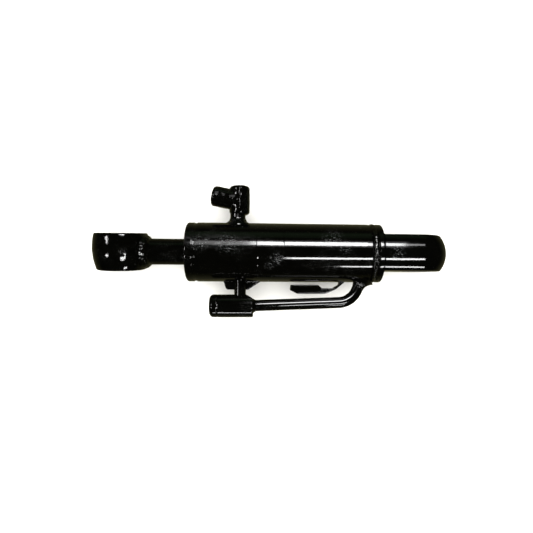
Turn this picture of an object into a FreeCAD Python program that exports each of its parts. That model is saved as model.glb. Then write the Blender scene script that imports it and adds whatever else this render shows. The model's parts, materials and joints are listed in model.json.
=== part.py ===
"""Double-acting hydraulic cylinder with welded pin eyes, in millimetres.

The origin is the centre of the base eye's bore, on the cylinder's axis. +X runs along the axis towards
the rod eye, +Y along the base eye's pin bore, towards the side with the feed pipe, and +Z is up.
"""
import FreeCAD, Part
import math
import os

V = FreeCAD.Vector
ORIGIN = V(0, 0, 0)
ALONG_X = V(1, 0, 0)
ALONG_Y = V(0, 1, 0)
ALONG_Z = V(0, 0, 1)

# Barrel and strokes
BARREL_R = 36.5
BORE_R = 31.5
PLUG_FACE_X = 63.0
TUBE_END_X = 275.0
STROKE = 108.0
END_GAP = 1.0
RUNNING = 0.08
SPIGOT_PLAY = 0.05

# Base eye and its weld
EYE_WIDTH = 45.0
BUSH_R = 21.0
PIN_R = 17.5
SHOULDER_X = 47.8
BASE_WELD_X = 58.6
BASE_WELD_HALF = 5.0
WELD_TOE = 1.7
WELD_CROWN = 0.7
EYE_EDGE = 2.0
BUSH_CHAMFER = 1.2
PLUG_CHAMFER = 1.5

# Head gland
FLANGE_X = 278.0
HEAD_FACE_X = 287.0
HEAD_CHAMFER = 2.6
NECK_R = 35.6
NOSE_R = 26.0
NOSE_X = 237.0
GLAND_BORE_R = 16.4
WIPER_SEAT = (280.0, 21.0)
ROD_SEAL_SEAT = (262.0, 270.0, 21.0)
GUIDE_SEAT = (240.0, 255.0, 18.5)
O_RING_SEAT = (243.0, 250.0, 27.8)
SPANNER_HOLES = 4
SPANNER_HOLE_R = 3.2
SPANNER_HOLE_DEPTH = 7.0
SPANNER_PCD_R = 28.5

# Rod, piston and rod eye
ROD_R = 16.0
SPIGOT_R = 13.0
THREAD_R = 12.0
ROD_TAIL_X = PLUG_FACE_X + END_GAP
NUT_X = 66.0
NUT_ACROSS = 36.0
PISTON_X = 80.0
PISTON_LENGTH = 36.0
PISTON_R = 31.15
PISTON_GUIDE_SEATS = ((82.5, 88.5), (107.5, 113.5))
PISTON_GUIDE_R = 28.8
PISTON_SEAL_SEAT = (93.5, 102.5, 25.0)
SPIGOT_O_RING_X = 98.0
ROD_EYE_X = 368.0
ROD_EYE_R = 33.2
ROD_EYE_CROWN = 75.0
ROD_EYE_CROWN_Y = -5.0
ROD_EYE_EDGE = 2.0
ROD_EYE_TURN = -6.0
ROD_WELD_PROFILE = (
    (331.5, ROD_R - 1), (331.5, ROD_R), (333.0, 17.0), (335.2, 20.6), (341.0, 22.0), (341.0, ROD_R - 1),
)

# Rod-side port
ROD_PORT_X = 226.0
ELBOW_X = 224.0
PORT_HOLE_R = 4.5
NECK_PORT_R = 9.4
NECK_TOP = 46.5
ELBOW_R = 12.7
ELBOW_TOP = 82.8
ELBOW_MOUTH_X = 258.2
ELBOW_AXIS_Y = 64.0
ELBOW_TILT = 11.0
ELBOW_ROUND = 4.2
ROD_PORT_WELD = ((36.2, 15.2), (38.6, 11.4), (43.5, NECK_PORT_R))
ROD_PORT_WELD_SKIRT = 3.6
G38_CORE_R = 7.475
THREAD_DEPTH = 14.0

# Base-side port: block, post, gusset and feed pipe lie in one plane, lifted about the cylinder's axis
PLANE_LIFT = 8.0
BLOCK_R = 13.9
BLOCK_Y = 66.6
BLOCK_X = (206.0, 258.7)
BLOCK_ROUND = 5.0
BLOCK_BEVEL_LENGTH = 9.0
BLOCK_BEVEL_DROP = 6.0
POST_X = 222.2
POST_R = 7.1
PIPE_R = 6.9
PIPE_BORE_R = 4.5
PIPE_SOCKET_X = 213.2
PIPE_SLOPE = 2.2
PIPE_BEND_R = 26.0
PIPE_ENTRY_X = 73.0
PIPE_LEAN = 65.0
PIPE_SUNK = 1.5
PIPE_WELD = ((-2.0, 15.5), (3.5, 9.3), (10.5, PIPE_R))
BLOCK_WELD = ((-3.5, 10.5), (1.2, 7.9), (3.2, PIPE_R))
GUSSET_ROOT = (195.4, 244.4)
GUSSET_TIP = (211.6, 240.2)
GUSSET_Y = (30.0, 47.0)
GUSSET_Z = (-8.0, 3.0)

# Hose hook
HOOK_Z = (-5.0, 3.0)
HOOK_ROOT_X = (92.7, 99.0)
HOOK_OUTLINE = (
    (92.7, 30.0), (92.7, 37.0), (103.2, 45.6), (114.8, 50.6), (122.0, 51.2), (151.6, 51.2), (160.6, 46.6),
    (160.0, 39.9), (124.9, 39.9), (120.9, 43.9), (107.0, 43.9), (99.5, 39.9), (99.0, 30.0),
)
BEAD_R = 2.2


def disc_x(radius, start, end):
    """Solid cylinder on the main axis."""
    return Part.makeCylinder(radius, end - start, V(start, 0, 0), ALONG_X)


def ring_x(outer, inner, start, end):
    """Plain ring on the main axis."""
    return disc_x(outer, start, end).cut(disc_x(inner, start, end))


def revolve(points, centre=ORIGIN, axis=ALONG_X):
    """Solid of revolution of a closed outline about an axis through centre."""
    wire = Part.makePolygon(points + points[:1])
    return Part.Face(wire).revolve(centre, axis, 360)


def turned(profile):
    """Solid turned on the main axis from its (x, radius) outline."""
    return revolve([V(x, 0, radius) for x, radius in profile])


def weld_ring(face, centre, axis, side, skirt=0):
    """Concave fillet bead round a post.

    face is the foot, middle and top of the bead's arc as (distance along axis, radius), and side is the
    direction in which radius is measured. The bead is closed by the post's wall and its own base, which
    lies below the foot by the skirt.
    """
    def at(distance, radius):
        return centre + axis * distance + side * radius

    foot, mid, top = face
    inner_r = top[1] - 1.0
    closing = [at(*top), at(top[0], inner_r), at(foot[0] - skirt, inner_r)]
    if skirt:
        closing.append(at(foot[0] - skirt, foot[1]))
    closing.append(at(*foot))
    edges = [Part.Arc(at(*foot), at(*mid), at(*top)).toShape()]
    edges += [Part.LineSegment(here, there).toShape() for here, there in zip(closing, closing[1:])]
    return Part.Face(Part.Wire(edges)).revolve(centre, axis, 360)


def lifted(shape):
    """Turn a shape from the horizontal plane into the plane of the base-side port."""
    return shape.rotate(ORIGIN, ALONG_X, PLANE_LIFT)


def eye_turned(shape):
    """Turn a shape with the rod eye about the main axis."""
    return shape.rotate(ORIGIN, ALONG_X, ROD_EYE_TURN)


def barrel_solid():
    """The barrel's outside as a solid, for cutting saddles."""
    return disc_x(BARREL_R, 0, TUBE_END_X)


def barrel_tube():
    slope = BARREL_R - BORE_R
    profile = [
        (BASE_WELD_X, BORE_R),
        (BASE_WELD_X + slope, BARREL_R),
        (TUBE_END_X - 0.8, BARREL_R),
        (TUBE_END_X, BARREL_R - 0.8),
        (TUBE_END_X, BORE_R + 0.8),
        (TUBE_END_X - 0.8, BORE_R),
    ]
    tube = turned(profile)
    rod_side = Part.makeCylinder(PORT_HOLE_R, BARREL_R + 2, V(ROD_PORT_X, 0, 0), -ALONG_Y)
    foot, lean = pipe_foot()
    base_side = lifted(Part.makeCylinder(PIPE_BORE_R, 20, foot - lean * 10, lean))
    pipe_seat = lifted(Part.makeCylinder(PIPE_R, 20, foot, lean))
    return tube.cut(rod_side).cut(base_side).cut(pipe_seat)


def base_eye():
    slope = BARREL_R - BORE_R
    plug_r = BORE_R - SPIGOT_PLAY
    cap = turned([
        (SHOULDER_X, 0),
        (SHOULDER_X, BARREL_R - 1.0),
        (SHOULDER_X + 1.0, BARREL_R),
        (BASE_WELD_X - slope, BARREL_R),
        (BASE_WELD_X, BORE_R),
        (BASE_WELD_X, plug_r),
        (PLUG_FACE_X - PLUG_CHAMFER, plug_r),
        (PLUG_FACE_X, plug_r - PLUG_CHAMFER),
        (PLUG_FACE_X, 0),
    ])
    dome = Part.makeSphere(BARREL_R).fuse(disc_x(BARREL_R, 0, SHOULDER_X)).removeSplitter()
    slab = Part.makeBox(4 * BARREL_R, EYE_WIDTH, 4 * BARREL_R, V(-2 * BARREL_R, -EYE_WIDTH / 2, -2 * BARREL_R))
    eye = dome.common(slab)
    rims = [edge for edge in eye.Edges if on_flat(edge) and edge.BoundBox.XMax - edge.BoundBox.XMin > 1]
    eye = eye.makeFillet(EYE_EDGE, rims)
    bore = Part.makeCylinder(BUSH_R, 2 * EYE_WIDTH, V(0, -EYE_WIDTH, 0), ALONG_Y)
    return cap.fuse(eye).removeSplitter().cut(bore)


def on_flat(edge):
    """True for an edge that lies in one of the base eye's two flats."""
    box = edge.BoundBox
    level = box.YMax - box.YMin < 1e-4
    return level and abs(abs(box.YMax) - EYE_WIDTH / 2) < 1e-4


def base_weld():
    root = BASE_WELD_X
    toe_r = BARREL_R - WELD_TOE
    toe = BASE_WELD_HALF - WELD_TOE
    crown = V(root, 0, BARREL_R + WELD_CROWN)
    left = V(root - toe, 0, toe_r)
    right = V(root + toe, 0, toe_r)
    bottom = V(root, 0, BORE_R)
    edges = [
        Part.Arc(left, crown, right).toShape(),
        Part.LineSegment(right, bottom).toShape(),
        Part.LineSegment(bottom, left).toShape(),
    ]
    return Part.Face(Part.Wire(edges)).revolve(ORIGIN, ALONG_X, 360)


def bush(centre_x):
    """Steel sleeve for a pin, with its mouths chamfered."""
    half = EYE_WIDTH / 2
    outline = [
        V(centre_x + BUSH_R, -half, 0),
        V(centre_x + BUSH_R, half, 0),
        V(centre_x + PIN_R + BUSH_CHAMFER, half, 0),
        V(centre_x + PIN_R, half - BUSH_CHAMFER, 0),
        V(centre_x + PIN_R, BUSH_CHAMFER - half, 0),
        V(centre_x + PIN_R + BUSH_CHAMFER, -half, 0),
    ]
    return revolve(outline, V(centre_x, 0, 0), ALONG_Y)


def head_gland():
    body_r = BORE_R - SPIGOT_PLAY
    guide_start, guide_end, guide_r = GUIDE_SEAT
    seal_start, seal_end, seal_r = ROD_SEAL_SEAT
    wiper_x, wiper_r = WIPER_SEAT
    ring_start, ring_end, ring_r = O_RING_SEAT
    nose_start = PISTON_X + PISTON_LENGTH + STROKE + END_GAP
    gland = turned([
        (nose_start, GLAND_BORE_R),
        (nose_start, NOSE_R),
        (NOSE_X, NOSE_R),
        (NOSE_X, body_r - 1.5),
        (NOSE_X + 1.5, body_r),
        (ring_start, body_r),
        (ring_start, ring_r),
        (ring_end, ring_r),
        (ring_end, body_r),
        (TUBE_END_X, body_r),
        (TUBE_END_X, NECK_R),
        (FLANGE_X, NECK_R),
        (FLANGE_X, BARREL_R - 0.8),
        (FLANGE_X + 0.8, BARREL_R),
        (HEAD_FACE_X - HEAD_CHAMFER, BARREL_R),
        (HEAD_FACE_X, BARREL_R - HEAD_CHAMFER),
        (HEAD_FACE_X, wiper_r),
        (wiper_x, wiper_r),
        (wiper_x, GLAND_BORE_R),
        (seal_end, GLAND_BORE_R),
        (seal_end, seal_r),
        (seal_start, seal_r),
        (seal_start, GLAND_BORE_R),
        (guide_end, GLAND_BORE_R),
        (guide_end, guide_r),
        (guide_start, guide_r),
        (guide_start, GLAND_BORE_R),
    ])
    for index in range(SPANNER_HOLES):
        angle = math.radians(45 + index * 360 / SPANNER_HOLES)
        floor_x = HEAD_FACE_X - SPANNER_HOLE_DEPTH
        place = V(floor_x, SPANNER_PCD_R * math.cos(angle), SPANNER_PCD_R * math.sin(angle))
        gland = gland.cut(Part.makeCylinder(SPANNER_HOLE_R, SPANNER_HOLE_DEPTH + 1, place, ALONG_X))
    return gland


def gland_o_ring():
    start, _, seat_r = O_RING_SEAT
    section = (BORE_R - seat_r) / 2 - SPIGOT_PLAY
    return Part.makeTorus((BORE_R + seat_r) / 2, section, V(start + section + 0.2, 0, 0), ALONG_X)


def gland_backup_ring():
    _, end, seat_r = O_RING_SEAT
    return ring_x(BORE_R - 0.1, seat_r + 0.1, end - 2.3, end - 0.2)


def rod_wiper():
    seat_x, seat_r = WIPER_SEAT
    lip_r = ROD_R + RUNNING
    return turned([
        (seat_x, lip_r + 0.6),
        (seat_x, seat_r),
        (HEAD_FACE_X - 0.3, seat_r),
        (HEAD_FACE_X - 0.3, seat_r - 2.2),
        (HEAD_FACE_X + 2.2, lip_r + 1.2),
        (HEAD_FACE_X + 2.2, lip_r),
        (HEAD_FACE_X, lip_r),
        (HEAD_FACE_X - 1.5, lip_r + 0.6),
    ])


def rod_seal():
    start, end, seat_r = ROD_SEAL_SEAT
    first = start + 0.2
    last = end - 0.2
    lip_r = ROD_R + RUNNING
    outer = seat_r - 0.05
    middle = (lip_r + outer) / 2
    return turned([
        (first, lip_r),
        (first, middle - 1.2),
        (first + 2.6, middle),
        (first, middle + 1.2),
        (first, outer),
        (last, outer),
        (last, lip_r),
    ])


def split_ring(outer, inner, start, end):
    """Guide strip with the small gap where its two ends meet."""
    gap = Part.makeBox(end - start + 2, 1.4, outer + 2, V(start - 1, -0.7, 0))
    return ring_x(outer, inner, start, end).cut(gap)


def rod_guide_ring():
    start, end, seat_r = GUIDE_SEAT
    return split_ring(seat_r - 0.05, ROD_R + RUNNING, start + 0.1, end - 0.1)


def rod_port_neck():
    neck = Part.makeCylinder(NECK_PORT_R, NECK_TOP, V(ROD_PORT_X, 0, 0), -ALONG_Y)
    hole = Part.makeCylinder(PORT_HOLE_R, NECK_TOP, V(ROD_PORT_X, 0, 0), -ALONG_Y)
    return neck.cut(barrel_solid()).cut(hole)


def rod_port_weld():
    bead = weld_ring(ROD_PORT_WELD, V(ROD_PORT_X, 0, 0), -ALONG_Y, ALONG_X, ROD_PORT_WELD_SKIRT)
    neck = Part.makeCylinder(NECK_PORT_R, NECK_TOP, V(ROD_PORT_X, 0, 0), -ALONG_Y)
    return bead.cut(neck).cut(barrel_solid())


def rod_port_body():
    tilt = math.radians(ELBOW_TILT)
    out = V(math.cos(tilt), -math.sin(tilt), 0)
    corner = V(ELBOW_X, -ELBOW_AXIS_Y, 0)
    reach = (ELBOW_MOUTH_X - ELBOW_X) / math.cos(tilt)
    post = Part.makeCylinder(ELBOW_R, ELBOW_TOP - NECK_TOP, V(ELBOW_X, -NECK_TOP, 0), -ALONG_Y)
    post = post.makeFillet(ELBOW_ROUND, post.Edges)
    boss = Part.makeCylinder(ELBOW_R, reach, corner, out)
    mouth_rims = [edge for edge in boss.Edges if edge.BoundBox.XMin > ROD_PORT_X + ELBOW_R]
    boss = boss.makeFillet(ELBOW_ROUND, mouth_rims)
    thread = Part.makeCylinder(G38_CORE_R, THREAD_DEPTH, corner + out * (reach - THREAD_DEPTH), out)
    cross = Part.makeCylinder(PORT_HOLE_R, reach, corner, out)
    riser = Part.makeCylinder(PORT_HOLE_R, ELBOW_AXIS_Y, V(ROD_PORT_X, 0, 0), -ALONG_Y)
    return post.fuse(boss).removeSplitter().cut(thread).cut(cross).cut(riser)


def base_port_block():
    start, end = BLOCK_X
    block = Part.makeCylinder(BLOCK_R, end - start, V(start, BLOCK_Y, 0), ALONG_X)
    mouth_rims = [edge for edge in block.Edges if edge.BoundBox.XMin > end - 1]
    block = block.makeFillet(BLOCK_ROUND, mouth_rims).cut(bevel_wedge())
    block = block.cut(Part.makeCylinder(G38_CORE_R, THREAD_DEPTH, V(end - THREAD_DEPTH, BLOCK_Y, 0), ALONG_X))
    block = block.cut(Part.makeCylinder(PORT_HOLE_R, end - start, V(start, BLOCK_Y, 0), ALONG_X))
    return lifted(block.cut(pipe_rod(PIPE_R)))


def bevel_wedge():
    """Wedge that takes the block's tail corner off on the side of the barrel."""
    start = BLOCK_X[0]
    low = BLOCK_Y - BLOCK_R
    points = [
        V(start - 1, low - 1, -20),
        V(start + BLOCK_BEVEL_LENGTH, low - 1, -20),
        V(start + BLOCK_BEVEL_LENGTH, low, -20),
        V(start, low + BLOCK_BEVEL_DROP, -20),
        V(start - 1, low + BLOCK_BEVEL_DROP, -20),
    ]
    return Part.Face(Part.makePolygon(points + points[:1])).extrude(V(0, 0, 40))


def pipe_foot():
    """Where the feed pipe ends in the tube's wall, and the direction in which it leaves."""
    lean = V(math.cos(math.radians(PIPE_LEAN)), math.sin(math.radians(PIPE_LEAN)), 0)
    return V(PIPE_ENTRY_X, BARREL_R, 0) - lean * PIPE_SUNK, lean


def pipe_route():
    """Centre line of the feed pipe before it is lifted: a run, one tangent bend and a foot."""
    foot, lean = pipe_foot()
    slope = math.radians(PIPE_SLOPE)
    along = V(math.cos(slope), math.sin(slope), 0)
    start = V(PIPE_SOCKET_X, BLOCK_Y, 0)
    turn = math.radians(PIPE_LEAN - PIPE_SLOPE)
    offset = start - foot
    climb = (offset.y * math.cos(slope) - offset.x * math.sin(slope)) / math.sin(turn)
    corner = foot + lean * climb
    tangent = PIPE_BEND_R * math.tan(turn / 2)
    bend_in = corner + along * tangent
    bend_out = corner - lean * tangent
    inward = (along - lean).normalize()
    bend_mid = corner + inward * (PIPE_BEND_R / math.cos(turn / 2) - PIPE_BEND_R)
    return start, bend_in, bend_mid, bend_out, foot


def pipe_rod(radius):
    """Solid round bar along the feed pipe's route."""
    start, bend_in, bend_mid, bend_out, foot = pipe_route()
    path = Part.Wire([
        Part.LineSegment(start, bend_in).toShape(),
        Part.Arc(bend_in, bend_mid, bend_out).toShape(),
        Part.LineSegment(bend_out, foot).toShape(),
    ])
    section = Part.Wire(Part.Circle(start, bend_in - start, radius).toShape())
    return path.makePipeShell([section], True, False)


def feed_pipe():
    return lifted(pipe_rod(PIPE_R).cut(pipe_rod(PIPE_BORE_R)))


def feed_pipe_weld():
    foot, lean = pipe_foot()
    side = V(lean.y, -lean.x, 0)
    bead = weld_ring(PIPE_WELD, foot, lean, side)
    return lifted(bead.cut(pipe_rod(PIPE_R)).cut(barrel_solid()))


def block_pipe_weld():
    slope = math.radians(PIPE_SLOPE)
    out = V(-math.cos(slope), -math.sin(slope), 0)
    side = V(-math.sin(slope), math.cos(slope), 0)
    tail = V(PIPE_SOCKET_X, BLOCK_Y, 0) + out * (PIPE_SOCKET_X - BLOCK_X[0])
    bead = weld_ring(BLOCK_WELD, tail, out, side)
    block = Part.makeCylinder(BLOCK_R, BLOCK_X[1] - BLOCK_X[0], V(BLOCK_X[0], BLOCK_Y, 0), ALONG_X)
    return lifted(bead.cut(pipe_rod(PIPE_R)).cut(block.cut(bevel_wedge())))


def post_bar():
    """The post before it is fitted to the barrel and the block."""
    return Part.makeCylinder(POST_R, BLOCK_Y, V(POST_X, 0, 0), ALONG_Y)


def port_support_post():
    block = Part.makeCylinder(BLOCK_R, BLOCK_X[1] - BLOCK_X[0], V(BLOCK_X[0], BLOCK_Y, 0), ALONG_X)
    return lifted(post_bar().cut(barrel_solid()).cut(block))


def port_gusset():
    low, high = GUSSET_Y
    points = [
        V(GUSSET_ROOT[0], low, 0),
        V(GUSSET_ROOT[0], BARREL_R - 1, 0),
        V(GUSSET_TIP[0], high, 0),
        V(GUSSET_TIP[1], high, 0),
        V(GUSSET_ROOT[1], BARREL_R - 1, 0),
        V(GUSSET_ROOT[1], low, 0),
    ]
    plate = Part.Face(Part.makePolygon(points + points[:1])).extrude(ALONG_Z * (GUSSET_Z[1] - GUSSET_Z[0]))
    plate = plate.translate(V(0, 0, GUSSET_Z[0]))
    return plate.cut(barrel_solid()).cut(lifted(post_bar()))


def hook_plate():
    """The hook's outline as a plate that still reaches into the barrel."""
    points = [V(x, y, 0) for x, y in HOOK_OUTLINE]
    plate = Part.Face(Part.makePolygon(points + points[:1])).extrude(ALONG_Z * (HOOK_Z[1] - HOOK_Z[0]))
    return plate.translate(V(0, 0, HOOK_Z[0]))


def hose_hook():
    return hook_plate().cut(barrel_solid())


def edge_beads(start, end, levels, plate):
    """Round weld beads along both faces of a plate where it stands on the barrel."""
    beads = []
    for level in levels:
        y = math.sqrt(BARREL_R ** 2 - level ** 2)
        beads.append(Part.makeCylinder(BEAD_R, end - start, V(start, y, level), ALONG_X))
    joined = beads[0].fuse(beads[1:])
    return joined.cut(plate).cut(barrel_solid())


def hook_weld():
    low, high = HOOK_ROOT_X
    return edge_beads(low, high, HOOK_Z, hook_plate())


def gusset_weld():
    start, end = GUSSET_ROOT
    keep_out = port_gusset().fuse(lifted(post_bar()))
    return edge_beads(start + 2, end - 2, GUSSET_Z, keep_out)


def crowned_radius(y):
    """Radius of the rod eye's rim at a place along its pin."""
    return ROD_EYE_R - ROD_EYE_CROWN + math.sqrt(ROD_EYE_CROWN ** 2 - (y - ROD_EYE_CROWN_Y) ** 2)


def rod_eye_block():
    """The eye's outside: a ring with a crowned rim and rounded edges, before the rod's seat."""
    half = EYE_WIDTH / 2
    centre = V(ROD_EYE_X, 0, 0)
    far_edge = V(ROD_EYE_X + crowned_radius(-half), -half, 0)
    near_edge = V(ROD_EYE_X + crowned_radius(half), half, 0)
    top = V(ROD_EYE_X + ROD_EYE_R, ROD_EYE_CROWN_Y, 0)
    edges = [
        Part.LineSegment(centre - ALONG_Y * half, far_edge).toShape(),
        Part.Arc(far_edge, top, near_edge).toShape(),
        Part.LineSegment(near_edge, centre + ALONG_Y * half).toShape(),
        Part.LineSegment(centre + ALONG_Y * half, centre - ALONG_Y * half).toShape(),
    ]
    block = Part.Face(Part.Wire(edges)).revolve(centre, ALONG_Y, 360)
    rims = [edge for edge in block.Edges if edge.BoundBox.XMax - edge.BoundBox.XMin > ROD_EYE_R
            and edge.BoundBox.YMax - edge.BoundBox.YMin < 1e-4]
    return block.makeFillet(ROD_EYE_EDGE, rims)


def rod_eye():
    bore = Part.makeCylinder(BUSH_R, 2 * EYE_WIDTH, V(ROD_EYE_X, -EYE_WIDTH, 0), ALONG_Y)
    return eye_turned(rod_eye_block().cut(bore))


def rod_eye_weld():
    bead = turned(ROD_WELD_PROFILE)
    return eye_turned(bead.cut(disc_x(ROD_R, ROD_TAIL_X, ROD_EYE_X)).cut(rod_eye_block()))


def rod():
    bar = turned([
        (ROD_TAIL_X, 0),
        (ROD_TAIL_X, THREAD_R - 1.2),
        (ROD_TAIL_X + 1.2, THREAD_R),
        (PISTON_X, THREAD_R),
        (PISTON_X, SPIGOT_R),
        (SPIGOT_O_RING_X - 1.6, SPIGOT_R),
        (SPIGOT_O_RING_X - 1.6, SPIGOT_R - 2.2),
        (SPIGOT_O_RING_X + 1.6, SPIGOT_R - 2.2),
        (SPIGOT_O_RING_X + 1.6, SPIGOT_R),
        (PISTON_X + PISTON_LENGTH, SPIGOT_R),
        (PISTON_X + PISTON_LENGTH, ROD_R - 1),
        (PISTON_X + PISTON_LENGTH + 1, ROD_R),
        (ROD_EYE_X - 10, ROD_R),
        (ROD_EYE_X - 10, 0),
    ])
    return eye_turned(bar.cut(rod_eye_block()))


def piston_o_ring():
    return Part.makeTorus(SPIGOT_R - 1.1, 1.05, V(SPIGOT_O_RING_X, 0, 0), ALONG_X)


def piston_nut():
    across_corners = NUT_ACROSS / math.cos(math.radians(30)) / 2
    corners = [
        V(NUT_X, across_corners * math.cos(math.radians(60 * k)), across_corners * math.sin(math.radians(60 * k)))
        for k in range(6)
    ]
    height = PISTON_X - NUT_X
    prism = Part.Face(Part.makePolygon(corners + corners[:1])).extrude(ALONG_X * height)
    dome = turned([
        (NUT_X, 0),
        (NUT_X, NUT_ACROSS / 2),
        (NUT_X + 2.5, across_corners),
        (PISTON_X, across_corners),
        (PISTON_X, 0),
    ])
    return prism.common(dome).cut(disc_x(THREAD_R + SPIGOT_PLAY, NUT_X - 1, PISTON_X + 1))


def piston():
    end = PISTON_X + PISTON_LENGTH
    seal_start, seal_end, seal_r = PISTON_SEAL_SEAT
    (rear_start, rear_end), (front_start, front_end) = PISTON_GUIDE_SEATS
    return turned([
        (PISTON_X, SPIGOT_R + SPIGOT_PLAY),
        (PISTON_X, PISTON_R - 1.5),
        (PISTON_X + 1.5, PISTON_R),
        (rear_start, PISTON_R),
        (rear_start, PISTON_GUIDE_R),
        (rear_end, PISTON_GUIDE_R),
        (rear_end, PISTON_R),
        (seal_start, PISTON_R),
        (seal_start, seal_r),
        (seal_end, seal_r),
        (seal_end, PISTON_R),
        (front_start, PISTON_R),
        (front_start, PISTON_GUIDE_R),
        (front_end, PISTON_GUIDE_R),
        (front_end, PISTON_R),
        (end - 1.5, PISTON_R),
        (end, PISTON_R - 1.5),
        (end, SPIGOT_R + SPIGOT_PLAY),
    ])


def piston_guide_ring(seat):
    start, end = seat
    return split_ring(BORE_R - RUNNING, PISTON_GUIDE_R + RUNNING, start + RUNNING, end - RUNNING)


def piston_seal():
    start, end, seat_r = PISTON_SEAL_SEAT
    first = start + RUNNING
    last = end - RUNNING
    outer = BORE_R - RUNNING
    land = outer - 0.4
    return turned([
        (first, seat_r + RUNNING),
        (first, land),
        (first + 1.5, land),
        (first + 2.2, outer),
        (last - 2.2, outer),
        (last - 1.5, land),
        (last, land),
        (last, seat_r + RUNNING),
    ])


def parts():
    """Every node's name and its shape."""
    rear_seat, front_seat = PISTON_GUIDE_SEATS
    return {
        "barrel_tube": barrel_tube(),
        "base_eye": base_eye(),
        "base_weld": base_weld(),
        "base_eye_bush": bush(0),
        "head_gland": head_gland(),
        "gland_o_ring": gland_o_ring(),
        "gland_backup_ring": gland_backup_ring(),
        "rod_wiper": rod_wiper(),
        "rod_seal": rod_seal(),
        "rod_guide_ring": rod_guide_ring(),
        "rod_port_neck": rod_port_neck(),
        "rod_port_weld": rod_port_weld(),
        "rod_port_body": rod_port_body(),
        "base_port_block": base_port_block(),
        "port_support_post": port_support_post(),
        "port_gusset": port_gusset(),
        "gusset_weld": gusset_weld(),
        "feed_pipe": feed_pipe(),
        "feed_pipe_weld": feed_pipe_weld(),
        "block_pipe_weld": block_pipe_weld(),
        "hose_hook": hose_hook(),
        "hook_weld": hook_weld(),
        "rod": rod(),
        "rod_eye": rod_eye(),
        "rod_eye_weld": rod_eye_weld(),
        "rod_eye_bush": eye_turned(bush(ROD_EYE_X)),
        "piston": piston(),
        "piston_o_ring": piston_o_ring(),
        "piston_nut": piston_nut(),
        "piston_seal": piston_seal(),
        "piston_guide_ring_rear": piston_guide_ring(rear_seat),
        "piston_guide_ring_front": piston_guide_ring(front_seat),
    }


def main():
    os.makedirs("parts", exist_ok=True)
    for name, shape in parts().items():
        shape.exportStep(os.path.join("parts", name + ".step"))
        box = shape.BoundBox
        print("%-24s valid %s solids %d volume %9.1f  x %.1f..%.1f y %.1f..%.1f z %.1f..%.1f" % (
            name, shape.isValid(), len(shape.Solids), shape.Volume,
            box.XMin, box.XMax, box.YMin, box.YMax, box.ZMin, box.ZMax))


main()
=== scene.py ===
"""Looks of a welded double-acting hydraulic cylinder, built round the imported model.

Shapes are worked out in millimetres from the frame's boxes and mounts, and turned into metres when a mesh
is made. X runs along the cylinder towards the rod eye, Y along the base pin, Z up.
"""
import json
import math

import bmesh
import bpy
from mathutils import Matrix, Vector, noise


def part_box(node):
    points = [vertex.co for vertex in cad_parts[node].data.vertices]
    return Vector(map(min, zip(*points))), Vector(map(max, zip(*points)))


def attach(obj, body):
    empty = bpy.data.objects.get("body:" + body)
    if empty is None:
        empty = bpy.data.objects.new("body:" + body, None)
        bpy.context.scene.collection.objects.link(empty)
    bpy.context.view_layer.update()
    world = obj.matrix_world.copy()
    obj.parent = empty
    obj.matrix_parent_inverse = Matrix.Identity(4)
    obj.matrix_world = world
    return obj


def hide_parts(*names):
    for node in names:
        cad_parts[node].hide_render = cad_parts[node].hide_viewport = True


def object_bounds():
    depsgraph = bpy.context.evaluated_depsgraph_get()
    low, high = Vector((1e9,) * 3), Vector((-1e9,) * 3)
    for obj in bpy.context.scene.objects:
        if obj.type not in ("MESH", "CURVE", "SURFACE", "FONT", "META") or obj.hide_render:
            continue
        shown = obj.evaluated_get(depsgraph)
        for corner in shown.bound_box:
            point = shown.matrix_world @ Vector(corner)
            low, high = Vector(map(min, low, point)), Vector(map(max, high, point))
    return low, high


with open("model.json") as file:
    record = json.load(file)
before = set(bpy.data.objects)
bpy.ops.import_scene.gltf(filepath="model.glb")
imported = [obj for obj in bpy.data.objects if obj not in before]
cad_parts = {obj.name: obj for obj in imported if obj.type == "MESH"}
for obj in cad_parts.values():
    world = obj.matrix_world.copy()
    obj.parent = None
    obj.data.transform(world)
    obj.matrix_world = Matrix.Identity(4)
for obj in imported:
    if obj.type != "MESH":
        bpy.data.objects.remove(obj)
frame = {"nodes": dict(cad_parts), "record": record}
cad_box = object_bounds()

MM = 0.001
X = Vector((1, 0, 0))
Y = Vector((0, 1, 0))
Z = Vector((0, 0, 1))
TURN = 2 * math.pi


# ---------------------------------------------------------------- places, read from the frame

def box_mm(node):
    """A CAD node's lowest and highest corners in millimetres."""
    low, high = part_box(node)
    return low / MM, high / MM


def mount(name):
    """A mount's place in millimetres, its unit axis, its radius and its length."""
    for entry in frame["record"]["mounts"]:
        if entry["name"] == name:
            place, axis = Vector(entry["pos_m"]) / MM, Vector(entry["axis"]).normalized()
            return place, axis, entry["dims"]["r_mm"], entry["dims"]["length_mm"]
    raise KeyError(name)


TUBE_LOW, TUBE_HIGH = box_mm("barrel_tube")
BARREL_R = TUBE_HIGH.z
BORE_R = BARREL_R - 5.0
SUNK_R = 33.0
OILWAY_R = 4.5
TUBE_END_X = TUBE_HIGH.x
WELD_X = TUBE_LOW.x
PLUG_END_X = box_mm("base_eye")[1].x
NOSE_X, HEAD_X = (corner.x for corner in box_mm("head_gland"))
ROD_LOW, ROD_HIGH = box_mm("rod")
ROD_R = 16.0
BASE_EYE, BASE_PIN, PIN_R, _ = mount("base_eye_bore")
ROD_EYE, ROD_PIN, _, _ = mount("rod_eye_bore")
ROD_PORT, ROD_PORT_OUT, PORT_R, THREAD_LENGTH = mount("rod_side_port")
BASE_PORT = mount("base_side_port")[0]
EYE_HALF = box_mm("base_eye_bush")[1].y
BUSH_R = box_mm("base_eye_bush")[1].z
FLOOR_Z = cad_box[0].z
LIFT = math.atan2(BASE_PORT.z, BASE_PORT.y)
LIFTED = Matrix.Rotation(LIFT, 3, "X")
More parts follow.
